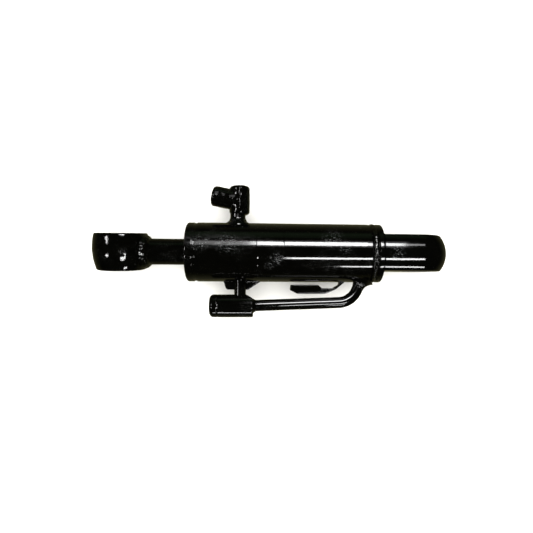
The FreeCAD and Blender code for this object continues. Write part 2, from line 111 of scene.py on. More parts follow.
PLANE_Y = math.hypot(BASE_PORT.y, BASE_PORT.z)


# ---------------------------------------------------------------- mesh tools

def new_piece(name, verts, faces, sharp=38):
    """A mesh piece from points in millimetres, smooth except at edges sharper than the angle."""
    mesh = bpy.data.meshes.new(name)
    mesh.from_pydata([v * MM for v in verts], [], faces)
    tidy(mesh)
    piece = bpy.data.objects.new(name, mesh)
    bpy.context.scene.collection.objects.link(piece)
    shade(piece, sharp)
    return piece


def tidy(mesh):
    """Merge doubles and make every face point outwards."""
    shell = bmesh.new()
    shell.from_mesh(mesh)
    bmesh.ops.remove_doubles(shell, verts=shell.verts, dist=1e-7)
    bmesh.ops.recalc_face_normals(shell, faces=shell.faces)
    shell.to_mesh(mesh)
    shell.free()


def shade(piece, sharp):
    piece.data.shade_smooth()
    piece.data.set_sharp_from_angle(angle=math.radians(sharp))


def rounded(corners, steps=5):
    """A profile with arcs put in at its corners. Each corner is (along, out, fillet)."""
    points = [Vector(c[:2]) for c in corners]
    result = []
    for index, corner in enumerate(corners):
        here = points[index]
        fillet = corner[2] if len(corner) > 2 else 0
        if not fillet or index in (0, len(corners) - 1):
            result.append(here)
            continue
        back = (points[index - 1] - here).normalized()
        ahead = (points[index + 1] - here).normalized()
        half = back.angle(ahead) / 2
        reach = fillet / math.tan(half)
        centre = here + (back + ahead).normalized() * (fillet / math.sin(half))
        start = here + back * reach - centre
        sweep = (here + ahead * reach - centre).angle_signed(start)
        for step in range(steps + 1):
            result.append(centre + Matrix.Rotation(sweep * step / steps, 2) @ start)
    return result


def stepped(profile, step):
    """The same profile with its long runs cut into short ones."""
    result = [profile[0]]
    for here, there in zip(profile, profile[1:]):
        pieces = max(1, math.ceil((there - here).length / step))
        result += [here.lerp(there, (k + 1) / pieces) for k in range(pieces)]
    return result


def rings_piece(name, rings, loop=False, sharp=38):
    """A skin over rings of points. loop joins the last ring to the first, otherwise both ends close."""
    count = len(rings[0])
    verts = [v for ring in rings for v in ring]
    faces = []
    spans = len(rings) if loop else len(rings) - 1
    for row in range(spans):
        low = row * count
        high = (row + 1) % len(rings) * count
        for k in range(count):
            after = (k + 1) % count
            faces.append((low + k, low + after, high + after, high + k))
    if not loop:
        for row in (0, len(rings) - 1):
            centre = sum(rings[row], Vector()) / count
            verts.append(centre)
            base = row * count
            faces += [(base + k, base + (k + 1) % count, len(verts) - 1) for k in range(count)]
    return new_piece(name, verts, faces, sharp)


def lathe(name, profile, origin, axis, side, count=160, relief=None, loop=False, sharp=38):
    """Turn a profile of (along, radius) about an axis. relief(along, angle, radius) gives a new radius."""
    other = axis.cross(side)
    rings = []
    for along, radius in profile:
        ring = []
        for k in range(count):
            angle = TURN * k / count
            out = relief(along, angle, radius) if relief else radius
            ring.append(origin + axis * along + (side * math.cos(angle) + other * math.sin(angle)) * out)
        rings.append(ring)
    return rings_piece(name, rings, loop, sharp)


def sweep(name, path, radius, count=48, sharp=38):
    """A round bar along a path of (place, heading) that lies flat, with Z as its plane's normal."""
    rings = []
    for place, heading in path:
        side = heading.cross(Z).normalized()
        rings.append([
            place + (side * math.cos(TURN * k / count) + Z * math.sin(TURN * k / count)) * radius
            for k in range(count)
        ])
    return rings_piece(name, rings, False, sharp)


def plate(name, corners, low_z, high_z, edge):
    """A flat plate with a rounded outline and rounded edges. corners are (x, y, fillet)."""
    closed = corners[-1:] + corners + corners[:1]
    outline = [Vector((p.x, p.y, low_z)) for p in rounded(closed, 4)[1:-1]]
    lift = Vector((0, 0, high_z - low_z))
    count = len(outline)
    faces = [tuple(range(count)), tuple(range(2 * count - 1, count - 1, -1))]
    faces += [(k, (k + 1) % count, count + (k + 1) % count, count + k) for k in range(count)]
    piece = new_piece(name, outline + [p + lift for p in outline], faces, 25)
    bevel = piece.modifiers.new("edges", "BEVEL")
    bevel.width = edge * MM
    bevel.segments = 3
    bevel.limit_method = "ANGLE"
    bevel.angle_limit = math.radians(60)
    bake_modifiers(piece, 30)
    return piece


def bake_modifiers(piece, sharp):
    """Put the result of a piece's modifiers into its mesh."""
    graph = bpy.context.evaluated_depsgraph_get()
    mesh = bpy.data.meshes.new_from_object(piece.evaluated_get(graph))
    old = piece.data
    piece.modifiers.clear()
    piece.data = mesh
    bpy.data.meshes.remove(old)
    shade(piece, sharp)


def combine(piece, tool, operation, sharp=38, solver="EXACT"):
    """Join or cut a piece with another solid, which is used up."""
    boolean = piece.modifiers.new("join", "BOOLEAN")
    boolean.operation = operation
    boolean.solver = solver
    boolean.object = tool
    bake_modifiers(piece, sharp)
    bpy.data.objects.remove(tool)


def moved(piece, matrix):
    """Turn a piece's mesh about the origin, leaving its object in place."""
    piece.data.transform(matrix.to_4x4())
    return piece


def finished(piece, node, material, body="barrel"):
    """Hide the CAD node that a piece stands in for, attach the piece to the body it moves with and give it
    its material.
    """
    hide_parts(node)
    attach(piece, body)
    piece.data.materials.clear()
    piece.data.materials.append(material)
    return piece


def lumps(place, size, depth, seed=0.0):
    """Slow unevenness of a forged or cast face, in millimetres."""
    return depth * noise.noise(Vector(place) / size + Vector((seed, seed * 0.7, -seed)))


# ---------------------------------------------------------------- materials

class Paint:
    """Short names for building a material's nodes."""

    def __init__(self, name):
        self.material = bpy.data.materials.new(name)
        self.material.use_nodes = True
        self.tree = self.material.node_tree
        self.shader = self.tree.nodes["Principled BSDF"]
        self.coords = self.tree.nodes.new("ShaderNodeTexCoord").outputs["Object"]

    def add(self, kind, **settings):
        item = self.tree.nodes.new(kind)
        for key, value in settings.items():
            setattr(item, key, value)
        return item

    def link(self, source, target):
        self.tree.links.new(source, target)

    def stretched(self, scale, turn=(0, 0, 0), vector=None):
        mapping = self.add("ShaderNodeMapping")
        mapping.inputs["Scale"].default_value = scale
        mapping.inputs["Rotation"].default_value = turn
        self.link(vector or self.coords, mapping.inputs["Vector"])
        return mapping.outputs["Vector"]

    def distorted(self, amount, scale):
        """Object coordinates pushed about by slow noise, so that lines wander."""
        field = self.add("ShaderNodeTexNoise")
        field.inputs["Scale"].default_value = scale
        self.link(self.coords, field.inputs["Vector"])
        push = self.add("ShaderNodeVectorMath", operation="SCALE")
        push.inputs["Scale"].default_value = amount
        self.link(field.outputs["Color"], push.inputs[0])
        total = self.add("ShaderNodeVectorMath", operation="ADD")
        self.link(self.coords, total.inputs[0])
        self.link(push.outputs["Vector"], total.inputs[1])
        return total.outputs["Vector"]

    def near(self, centre, reach):
        """1 at a place in millimetres, fading to 0 at its reach."""
        away = self.add("ShaderNodeVectorMath", operation="DISTANCE")
        self.link(self.coords, away.inputs[0])
        away.inputs[1].default_value = Vector(centre) * MM
        return self.span(away.outputs["Value"], reach * MM, reach * 0.4 * MM)

    def noise(self, scale, detail=2.0, vector=None, rough=0.5):
        item = self.add("ShaderNodeTexNoise")
        item.inputs["Scale"].default_value = scale
        item.inputs["Detail"].default_value = detail
        item.inputs["Roughness"].default_value = rough
        self.link(vector or self.coords, item.inputs["Vector"])
        return item.outputs["Fac"]

    def strokes(self, length, width, turn, vector):
        """Fine scratches of about this length and spacing in millimetres, lying at an angle to X."""
        across = 1 / (width * MM)
        turned = self.stretched((1, 1, 1), turn, vector)
        line = self.stretched((1 / (length * MM), across, across), vector=turned)
        return self.span(self.noise(1.0, 1, line), 0.64, 0.76)

    def span(self, value, low, high, out_low=0.0, out_high=1.0):
        item = self.add("ShaderNodeMapRange")
        item.inputs["From Min"].default_value = low
        item.inputs["From Max"].default_value = high
        item.inputs["To Min"].default_value = out_low
        item.inputs["To Max"].default_value = out_high
        self.link(value, item.inputs["Value"])
        return item.outputs["Result"]

    def maths(self, operation, first, second):
        item = self.add("ShaderNodeMath", operation=operation)
        for socket, value in zip(item.inputs, (first, second)):
            if isinstance(value, (int, float)):
                socket.default_value = value
            else:
                self.link(value, socket)
        return item.outputs["Value"]

    def blend(self, factor, first, second):
        """A colour between two, each a tuple or a socket."""
        item = self.add("ShaderNodeMix", data_type="RGBA")
        self.link(factor, item.inputs["Factor"])
        for socket, value in zip((item.inputs[6], item.inputs[7]), (first, second)):
            if isinstance(value, tuple):
                socket.default_value = (*value, 1)
            else:
                self.link(value, socket)
        return item.outputs[2]

    def bump(self, height, depth, before=None):
        item = self.add("ShaderNodeBump")
        item.inputs["Strength"].default_value = 1.0
        item.inputs["Distance"].default_value = depth
        self.link(height, item.inputs["Height"])
        if before:
            self.link(before, item.inputs["Normal"])
        return item.outputs["Normal"]

    def axis_value(self, axis):
        item = self.add("ShaderNodeSeparateXYZ")
        self.link(self.coords, item.inputs["Vector"])
        return item.outputs[axis]


def enamel_layer(paint, peel=0.000012, wave=0.00004, wave_scale=90.0, dust=0.5, scuffs=0.35, places=()):
    """Colour, roughness and normal of gloss black enamel. places are its scuffed (centre, reach) patches."""
    tone = paint.noise(55, 3)
    colour = paint.blend(tone, (0.0002, 0.0002, 0.0001), (0.0009, 0.0009, 0.0006))
    patches = paint.span(paint.noise(38, 4, rough=0.6), 0.52, 0.70)
    grains = paint.span(paint.noise(2600, 1), 0.66, 0.74)
    dusty = paint.maths("MULTIPLY", paint.maths("MULTIPLY", grains, patches), dust)
    bent = paint.distorted(0.004, 45)
    fine = paint.strokes(9.0, 0.6, (0.1, 0.1, 0.30), bent)
    cross = paint.strokes(12.0, 0.7, (0.1, 0.2, 0.62), bent)
    lines = paint.maths("MAXIMUM", fine, cross)
    zones = paint.maths("MULTIPLY", paint.span(paint.noise(30, 2), 0.58, 0.72), scuffs)
    for centre, reach in places:
        zones = paint.maths("MAXIMUM", zones, paint.near(centre, reach))
    scratched = paint.maths("MULTIPLY", lines, zones)
    worn = paint.maths("MAXIMUM", dusty, scratched)
    colour = paint.blend(worn, colour, (0.072, 0.075, 0.074))
    gloss = paint.span(paint.noise(70, 3), 0.3, 0.7, 0.045, 0.09)
    rough = paint.maths("ADD", gloss, paint.maths("MULTIPLY", worn, 0.28))
    normal = paint.bump(paint.noise(wave_scale, 2), wave)
    normal = paint.bump(paint.noise(850, 1), peel, before=normal)
    normal = paint.bump(paint.maths("MULTIPLY", scratched, -1.0), 0.00002, before=normal)
    return colour, rough, normal


def enamel(name, **settings):
    paint = Paint(name)
    colour, rough, normal = enamel_layer(paint, **settings)
    return coated(paint, colour, rough, normal)


def coated(paint, colour, rough, normal):
    """Finish an enamel with its clear top."""
    shader = paint.shader
    paint.link(colour, shader.inputs["Base Color"])
    paint.link(rough, shader.inputs["Roughness"])
    paint.link(normal, shader.inputs["Normal"])
    shader.inputs["IOR"].default_value = 1.5
    shader.inputs["Coat Weight"].default_value = 0.35
    shader.inputs["Coat Roughness"].default_value = 0.05
    paint.link(normal, shader.inputs["Coat Normal"])
    return paint.material


def handled_enamel_with_painted_sheen(name, start, end, level, spread, places):
    """Enamel with a band along the top of the barrel's head end. The band is rougher and bumpier where the
    barrel was handled, and lighter in colour as a painted sheen along the line where the overhead strip lamp
    is mirrored.
    """
    paint = Paint(name)
    colour, rough, normal = enamel_layer(paint, dust=0.8, scuffs=0.25, places=places)
    along = paint.span(paint.axis_value("X"), start * MM, end * MM)
    across = paint.maths("ABSOLUTE", paint.maths("SUBTRACT", paint.axis_value("Y"), level * MM), 0)
    band = paint.span(across, spread * MM, spread * 0.3 * MM)
    streaks = paint.span(paint.noise(90, 5, paint.stretched((0.8, 3.0, 2.0)), 0.7), 0.46, 0.70)
    above = paint.span(paint.axis_value("Z"), 0, 20 * MM)
    zone = paint.maths("MULTIPLY", paint.maths("MULTIPLY", along, band), above)
    rubbing_and_sheen = paint.maths("MULTIPLY", zone, streaks)
    # Painted sheen: the band's colour is lifted towards grey along the line where the overhead strip lamp is
    # mirrored, standing in for that lamp's reflection spread by worn paint; the added roughness below is real
    # wear.
    colour = paint.blend(paint.maths("MULTIPLY", rubbing_and_sheen, 0.25), colour, (0.07, 0.07, 0.072))
    rough = paint.maths("ADD", rough, paint.maths("MULTIPLY", rubbing_and_sheen, 0.20))
    normal = paint.bump(paint.maths("MULTIPLY", zone, paint.noise(900, 2)), 0.00006, before=normal)
    return coated(paint, colour, rough, normal)


def weld_enamel(name):
    """Enamel over weld metal, which is wavier than plate and has spatter on it."""
    paint = Paint(name)
    colour, rough, normal = enamel_layer(
        paint, peel=0.00002, wave=0.00020, wave_scale=330.0, dust=0.6, scuffs=0.1)
    spatter = paint.span(paint.noise(420, 2), 0.64, 0.74)
    normal = paint.bump(spatter, 0.00006, before=normal)
    return coated(paint, colour, rough, normal)


def rod_metal(name, paint_line):
    """Hard chrome with fine turning rings, under enamel where the rod stood out when it was sprayed."""
    paint = Paint(name)
    dark, dull, soft = enamel_layer(paint, dust=0.7, scuffs=0.6)
    ragged = paint.maths("ADD", paint.axis_value("X"), paint.span(paint.noise(220, 3), 0, 1, -0.0007, 0.0007))
    sprayed = paint.span(ragged, paint_line * MM, (paint_line + 0.25) * MM)
    rings = paint.noise(1, 2, paint.stretched((5200.0, 30.0, 30.0)))
    chrome = paint.blend(paint.noise(45, 3), (0.50, 0.50, 0.51), (0.62, 0.62, 0.63))
    bright = paint.span(rings, 0.3, 0.7, 0.05, 0.14)
    rough = paint.add("ShaderNodeMix", data_type="FLOAT")
    paint.link(sprayed, rough.inputs["Factor"])
    paint.link(bright, rough.inputs[2])
    paint.link(dull, rough.inputs[3])
    metal = paint.maths("SUBTRACT", 1.0, sprayed)
    edge = paint.bump(sprayed, 0.00006, before=soft)
    paint.link(paint.blend(sprayed, chrome, dark), paint.shader.inputs["Base Color"])
    paint.link(rough.outputs[0], paint.shader.inputs["Roughness"])
    paint.link(metal, paint.shader.inputs["Metallic"])
    paint.link(edge, paint.shader.inputs["Normal"])
    return paint.material


def turned_steel(name, low, high, axis_scale):
    """Machined steel with turning marks across one axis and a trace of oil."""
    paint = Paint(name)
    marks = paint.noise(1, 3, paint.stretched(axis_scale))
    stain = paint.span(paint.noise(120, 4), 0.45, 0.7)
    colour = paint.blend(marks, low, high)
    colour = paint.blend(paint.maths("MULTIPLY", stain, 0.5), colour, (0.12, 0.10, 0.075))
    paint.link(colour, paint.shader.inputs["Base Color"])
    paint.link(paint.span(marks, 0.3, 0.7, 0.22, 0.42), paint.shader.inputs["Roughness"])
    paint.shader.inputs["Metallic"].default_value = 1.0
    paint.link(paint.bump(marks, 0.00001), paint.shader.inputs["Normal"])
    return paint.material


def moulded(name, dark, light, grain, rough_low, rough_high):
    """Rubber or plastic with a fine moulded skin."""
    paint = Paint(name)
    paint.link(paint.blend(paint.noise(180, 3), dark, light), paint.shader.inputs["Base Color"])
    rough = paint.span(paint.noise(300, 2), 0.3, 0.7, rough_low, rough_high)
    paint.link(rough, paint.shader.inputs["Roughness"])
    paint.link(paint.bump(paint.noise(grain, 2), 0.00002), paint.shader.inputs["Normal"])
    return paint.material


BARREL_SCUFFS = (
    ((177.7, 9.6, 35.2), 11.0),
    ((97.0, -5.2, 36.1), 10.0),
    ((111.0, -16.0, 32.8), 16.0),
    ((187.0, 18.0, 31.7), 7.0),
    ((236.0, -9.0, 35.4), 17.0),
    ((268.0, -10.0, 35.1), 14.0),
)
EYE_SCUFFS = (((33.0, 2.0, 36.4), 12.0),)
# The band at Y = -11 mm lies where the overhead strip lamp is mirrored on the barrel's top; its lighter
# colour is painted sheen.
BARREL_PAINT = handled_enamel_with_painted_sheen("barrel_enamel", TUBE_END_X - 95, TUBE_END_X - 25, -11.0, 10.0, BARREL_SCUFFS)
SMOOTH_PAINT = enamel("smooth_enamel", places=EYE_SCUFFS)
CAST_PAINT = enamel("forged_enamel", peel=0.00002, wave=0.00016, wave_scale=190.0, dust=0.7, scuffs=0.3)
WELD_PAINT = weld_enamel("weld_enamel")
ROD_METAL = rod_metal("rod_chrome", HEAD_X + 1.6)
BUSH_STEEL = turned_steel("bush_steel", (0.30, 0.29, 0.27), (0.46, 0.45, 0.43), (40.0, 2600.0, 40.0))
TURNED_STEEL = turned_steel("turned_steel", (0.34, 0.34, 0.34), (0.52, 0.52, 0.52), (2600.0, 40.0, 40.0))
SEAL_RUBBER = moulded("seal_rubber", (0.012, 0.012, 0.013), (0.03, 0.03, 0.032), 1500, 0.42, 0.6)
GUIDE_PLASTIC = moulded("guide_plastic", (0.22, 0.12, 0.05), (0.34, 0.20, 0.09), 900, 0.35, 0.5)


# ---------------------------------------------------------------- barrel

RIDGE_X = 201.0
RIDGE = (0.16, 0.55)
NICK_X = 169.6
NICK = (0.22, 0.5)
NICK_SIDE = math.radians(126)
NICK_SPAN = 0.5


def tube_relief(along, angle, radius):
    """A drawn tube's slight unevenness, one raised ring and one cut part of the way round."""
    if radius < BARREL_R - 1:
        return radius
    place = (along, radius * math.cos(angle), radius * math.sin(angle))
    ridge = RIDGE[0] * math.exp(-((along - RIDGE_X) / RIDGE[1]) ** 2)
    away = (angle - NICK_SIDE) / NICK_SPAN
    nick = NICK[0] * math.exp(-((along - NICK_X) / NICK[1]) ** 2) * math.exp(-away ** 4)
    return radius - 0.02 + lumps(place, 45, 0.02) + ridge * 0.8 - nick


def make_tube():
    slope = BARREL_R - BORE_R
    outer = rounded([
        (WELD_X, BORE_R),
        (WELD_X + slope, BARREL_R, 0.6),
        (TUBE_END_X, BARREL_R, 0.9),
        (TUBE_END_X, BORE_R, 0.4),
        (WELD_X + 0.3, BORE_R),
    ])
    fine = [Vector((mark + k * 0.3, BARREL_R)) for mark in (NICK_X, RIDGE_X) for k in range(-6, 7)]
    profile = stepped(outer, 6.0)
    split = next(i for i, p in enumerate(profile) if p.x > NICK_X and p.y > BARREL_R - 0.01)
    before = [p for p in profile[:split] if p.x < fine[0].x]
    after = [p for p in profile[split:] if p.y < BARREL_R - 0.01 or p.x > fine[12].x]
    first = fine[:13]
    second = fine[13:]
    between = [p for p in after if p.y > BARREL_R - 0.01 and p.x < second[0].x]
    rest = [p for p in after if p not in between and (p.y < BARREL_R - 0.01 or p.x > second[-1].x)]
    tube = lathe(
        "tube_body", before + first + between + second + rest, Vector(), X, Y, 256, tube_relief, loop=True)
    oilway = lathe("oilway", [Vector((20, OILWAY_R)), Vector((45, OILWAY_R))],
                   Vector((ROD_NECK_X, 0, 0)), -Y, X, 32)
    combine(tube, oilway, "DIFFERENCE")
    foot, lean = pipe_foot()
    seat = lathe("pipe_seat", [Vector((-12, OILWAY_R)), Vector((12, OILWAY_R))],
                 foot, lean, lean.cross(Z), 32)
    combine(tube, moved(seat, LIFTED), "DIFFERENCE")
    return finished(tube, "barrel_tube", BARREL_PAINT)


# ---------------------------------------------------------------- base eye

SHOULDER_X = 47.8
SHOULDER_FILLET = 1.4
EYE_SQUARENESS = 42.0


def base_radius(angle, full, half_width):
    """Distance from the axis to the milled eye's face: round, with two flats and softened edges."""
    across = abs(math.sin(angle))
    if across < 1e-6:
        return full
    flat = half_width / across
    return (full ** -EYE_SQUARENESS + flat ** -EYE_SQUARENESS) ** (-1 / EYE_SQUARENESS)


def base_stations():
    """(along, full radius, half width) down the eye, from the dome's pole to the plug."""
    result = []
    for k in range(1, 30):
        tilt = math.pi / 2 * (k / 30) ** 1.15
        result.append((-BARREL_R * math.cos(tilt), BARREL_R * math.sin(tilt), EYE_HALF))
    steps = 26
    result += [(SHOULDER_X * k / steps, BARREL_R, EYE_HALF) for k in range(steps)]
    for k in range(7):
        turn = math.pi / 2 * k / 6
        along = SHOULDER_X - SHOULDER_FILLET * (1 - math.sin(turn))
        result.append((along, BARREL_R, EYE_HALF + SHOULDER_FILLET * (1 - math.cos(turn))))
    return result


def make_base_eye():
    rings = []
    count = 288
    for along, full, half_width in base_stations():
        ring = []
        for k in range(count):
            angle = TURN * k / count
            radius = base_radius(angle, full, half_width)
            place = (along, radius * math.sin(angle), radius * math.cos(angle))
            ring.append(Vector((along, place[1], place[2])) * (1 + lumps(place, 22, 0.0012)))
        rings.append(ring)
    cap = rounded([
        (SHOULDER_X, BARREL_R * 0.72),
        (SHOULDER_X, BARREL_R, 1.3),
        (WELD_X - 5.0, BARREL_R, 0.5),
        (WELD_X, BORE_R),
        (WELD_X + 0.1, BORE_R - 0.1),
        (PLUG_END_X, BORE_R - 0.1, 1.5),
        (PLUG_END_X, 6.0),
    ])
    for along, radius in stepped(cap[1:], 4.0):
        rings.append([
            Vector((along, radius * math.sin(TURN * k / count), radius * math.cos(TURN * k / count)))
            for k in range(count)
        ])
    eye = rings_piece("base_end", rings)
    bore = lathe("bore", [Vector((-40, BUSH_R)), Vector((40, BUSH_R))], BASE_EYE, BASE_PIN, X, 160)
    combine(eye, bore, "DIFFERENCE")
    return finished(eye, "base_eye", SMOOTH_PAINT)


def make_bush(name, node, body, centre, pin):
    bush = rounded([
        (-EYE_HALF, (PIN_R + BUSH_R) / 2),
        (-EYE_HALF, BUSH_R - 0.02, 0.4),
        (EYE_HALF, BUSH_R - 0.02, 0.4),
        (EYE_HALF, PIN_R + 1.2, 0.3),
        (EYE_HALF - 1.2, PIN_R, 0.3),
        (1.2 - EYE_HALF, PIN_R, 0.3),
        (-EYE_HALF, PIN_R + 1.2, 0.3),
    ])
    piece = lathe(name, stepped(bush, 5.0), centre, pin, X, 128, loop=True)
    return finished(piece, node, BUSH_STEEL, body)


# ---------------------------------------------------------------- welds

def ripple(angle, along, count, lean):
    """Crescents of a weld, steep on one side, between 0 and 1."""
    phase = (angle * count / TURN + lean * along) % 1.0
    return phase ** 0.6 * (1 - phase) ** 0.35 * 1.6


BASE_BEAD_HALF = 3.3
BASE_BEAD_RISE = 2.3
BEAD_STOPS = ((0.15, 0.9, 0.05), (0.42, 0.8, 0.07), (0.55, 0.7, 0.04), (-0.62, 0.6, 0.08), (2.3, 0.9, 0.06))


def make_base_weld():
    foot_r = BARREL_R - 1.8
    profile = []
    for k in range(15):
        angle = math.pi * k / 14
        crown = foot_r + BASE_BEAD_RISE * math.sin(angle) ** 0.8
        profile.append(Vector((WELD_X + BASE_BEAD_HALF * math.cos(angle), crown)))
    profile.append(Vector((WELD_X, BORE_R + 0.2)))

    def relief(along, angle, radius):
        """Crescents with a few heaps, where the welder began and where the rod was changed."""
        if radius < foot_r - 0.1:
            return radius
        place = (along, radius * math.cos(angle), radius * math.sin(angle))
        bend = 0.10 * (along - WELD_X) ** 2
        rise = 0.55 * (ripple(angle, bend, 58, 1.0) - 0.6) + lumps(place, 4.5, 0.55, 3.0)
        from_top = math.pi / 2 - angle
        across = math.cos(2.6 * (along - WELD_X - 0.5))
        for stop, height, width in BEAD_STOPS:
            rise += height * math.exp(-((from_top - stop) / width) ** 2) * across
        return radius + rise * min(1.0, (radius - foot_r + 0.4) / BASE_BEAD_RISE)

    bead = lathe("base_bead", profile, Vector(), X, Y, 672, relief, loop=True, sharp=80)
    return finished(bead, "base_weld", WELD_PAINT)


def fillet_weld(name, node, body, origin, axis, side, face, count, skirt=0.0, matrix=None):
    """A weld round a post. face is its foot, middle and top as (along, radius), and count its crescents."""
    foot, middle, top = (Vector(point) for point in face)
    pull = middle * 2 - (foot + top) / 2
    profile = []
    for k in range(13):
        t = k / 12
        profile.append(foot * (1 - t) ** 2 + pull * 2 * t * (1 - t) + top * t ** 2)
    inner = top.y - 1.2
    profile += [Vector((top.x, inner)), Vector((foot.x - skirt, inner))]
    if skirt:
        profile.append(Vector((foot.x - skirt, foot.y)))

    def relief(along, angle, radius):
        place = (along, radius * math.cos(angle), radius * math.sin(angle))
        bend = 0.12 * (along - middle.x) ** 2
        rise = 0.40 * (ripple(angle, bend, count, 1.0) - 0.7)
        return radius + (rise + lumps(place, 3.5, 0.35, count)) * min(1.0, max(0.0, radius - inner) / 1.2)

    bead = lathe(name, profile, origin, axis, side, count * 8, relief, loop=True, sharp=80)
    if matrix:
        moved(bead, matrix)
    return finished(bead, node, WELD_PAINT, body)


# ---------------------------------------------------------------- head

SPANNER_R = 3.2
SPANNER_PITCH_R = 28.5


def make_head():
    nose = NOSE_X
    bore = ROD_R + 0.4
    profile = rounded([
        (nose, 22.0),
        (nose, 26.0, 0.6),
        (TUBE_END_X - 38, 26.0, 0.8),
        (TUBE_END_X - 38, BORE_R - 0.1, 1.2),
        (243.0, BORE_R - 0.1, 0.2),
        (243.0, 27.8, 0.3),
        (250.0, 27.8, 0.3),
        (250.0, BORE_R - 0.1, 0.2),
        (TUBE_END_X + 0.1, BORE_R - 0.1),
        (TUBE_END_X + 0.1, BARREL_R - 0.9, 0.2),
        (HEAD_X - 9.0, BARREL_R - 0.9, 0.3),
        (HEAD_X - 9.0, BARREL_R, 0.6),
        (HEAD_X, BARREL_R, 2.6),
        (HEAD_X, 21.0, 0.3),
        (HEAD_X - 7.0, 21.0),
        (HEAD_X - 7.0, bore),
        (270.0, bore),
        (270.0, 21.0),
        (262.0, 21.0),
        (262.0, bore),
        (255.0, bore),
        (255.0, 18.5),
        (240.0, 18.5),
        (240.0, bore),
        (nose, bore, 0.4),
    ])

    def relief(along, angle, radius):
        if radius < BARREL_R - 2 or along < TUBE_END_X:
            return radius
        return radius - 0.03 + lumps((along, 36 * math.cos(angle), 36 * math.sin(angle)), 16, 0.05)

    head = lathe("head_ring", stepped(profile, 3.0), Vector(), X, Y, 224, relief, loop=True)
    for k in range(4):
        turn = math.radians(45 + 90 * k)
        place = Vector((HEAD_X - 7, SPANNER_PITCH_R * math.cos(turn), SPANNER_PITCH_R * math.sin(turn)))
        hole = lathe("hole", [Vector((0, SPANNER_R)), Vector((9, SPANNER_R))], place, X, Y, 32)
        combine(head, hole, "DIFFERENCE")
    return finished(head, "head_gland", BARREL_PAINT)


# ---------------------------------------------------------------- rod and rod eye

def make_rod():
    tail = ROD_LOW.x
    piston_low, piston_high = box_mm("piston")
    profile = rounded([
        (tail, 0.5),
        (tail, 11.0, 0.4),
        (tail + 1.2, 12.0),
        (piston_low.x - 0.2, 12.0),
        (piston_low.x, 13.0, 0.2),
        (piston_high.x, 13.0, 0.3),
        (piston_high.x, ROD_R - 0.8),
        (piston_high.x + 0.8, ROD_R, 0.4),
        (ROD_HIGH.x - 3.0, ROD_R),
        (ROD_HIGH.x - 3.0, 0.5),
    ])
    pitch = 2.0

    def relief(along, angle, radius):
        threaded = tail + 1 < along < piston_low.x - 1 and radius > 11
        if not threaded:
            return radius
        phase = (along / pitch + angle / TURN) % 1.0
        return radius - 1.1 * abs(2 * phase - 1)

    fine = [p for p in stepped(profile, 0.33) if p.x < piston_low.x]
    plain = [p for p in stepped(profile, 6.0) if p.x >= piston_low.x]
    bar = lathe("rod_bar", fine + plain, Vector(), X, Y, 128, relief)
    return finished(bar, "rod", ROD_METAL, "rod")


ROD_EYE_CROWN = 75.0
ROD_EYE_CROWN_Y = -5.0


def crowned_radius(across):
    """Radius of the rod eye's rim at a place along its pin."""
    rim = box_mm("rod_eye")[1].x - ROD_EYE.x
    return rim - ROD_EYE_CROWN + math.sqrt(ROD_EYE_CROWN ** 2 - (across - ROD_EYE_CROWN_Y) ** 2)


def make_rod_eye():
    across = [EYE_HALF * (k / 20 - 1) for k in range(3, 38)]
    rim = [(place, crowned_radius(place)) for place in across]
    profile = rounded(
        [(0, BUSH_R), (-EYE_HALF, BUSH_R, 0.5), (-EYE_HALF, crowned_radius(-EYE_HALF), 2.2)] + rim
        + [(EYE_HALF, crowned_radius(EYE_HALF), 2.8), (EYE_HALF, BUSH_R, 0.5), (0.5, BUSH_R)], 6)

    def relief(along, angle, radius):
        """The dents and swellings of a forging."""
        if radius < BUSH_R + 0.5:
            return radius
        place = (along, radius * math.cos(angle), radius * math.sin(angle))
        return radius - 0.12 + lumps(place, 12, 0.30, 2.0) + lumps(place, 5, 0.10, 4.0)

    eye = lathe("rod_eye_forging", stepped(profile, 2.5), ROD_EYE, ROD_PIN, X, 256, relief, loop=True)
    return finished(eye, "rod_eye", CAST_PAINT, "rod")


ROD_EYE_WELD = ((341.0, 22.0), (334.6, 19.4), (331.5, ROD_R - 0.05))


# ---------------------------------------------------------------- ports

ROD_NECK_X = (box_mm("rod_port_neck")[0].x + box_mm("rod_port_neck")[1].x) / 2
NECK_R = (box_mm("rod_port_neck")[1].x - box_mm("rod_port_neck")[0].x) / 2
NECK_TOP = -box_mm("rod_port_neck")[0].y
ELBOW_R = 12.7
ELBOW_X = 224.0
ELBOW_ROUND = 4.2
ROD_PORT_WELD = ((36.2, 15.2), (38.6, 11.4), (43.5, NECK_R - 0.05))
ROD_PORT_WELD_SKIRT = 3.6
ELBOW_TOP = -box_mm("rod_port_body")[0].y
PITCH = 1.337
THREAD_DEPTH = 0.75


def port_cutter(name, mouth, outward, side):
    """The threaded mouth of a port and the drilled way behind it, as a solid to cut with."""
    lead_in = PORT_R + 1.8
    profile = [Vector((3.0, lead_in)), Vector((0.0, lead_in)), Vector((-1.0, PORT_R + THREAD_DEPTH))]
    steps = int(THREAD_LENGTH / 0.2)
    profile += [Vector((-1.0 - (THREAD_LENGTH - 1.5) * k / steps, PORT_R)) for k in range(1, steps + 1)]
    profile.append(Vector((-THREAD_LENGTH, PORT_R)))
    profile += [Vector((-THREAD_LENGTH - 1.5, OILWAY_R)), Vector((-34.0, OILWAY_R))]

    def relief(along, angle, radius):
        if radius != PORT_R or along < 1.0 - THREAD_LENGTH:
            return radius
        phase = (along / PITCH + angle / TURN) % 1.0
        return radius + THREAD_DEPTH * abs(2 * phase - 1)

    return lathe(name, profile, mouth, outward, side, 96, relief)


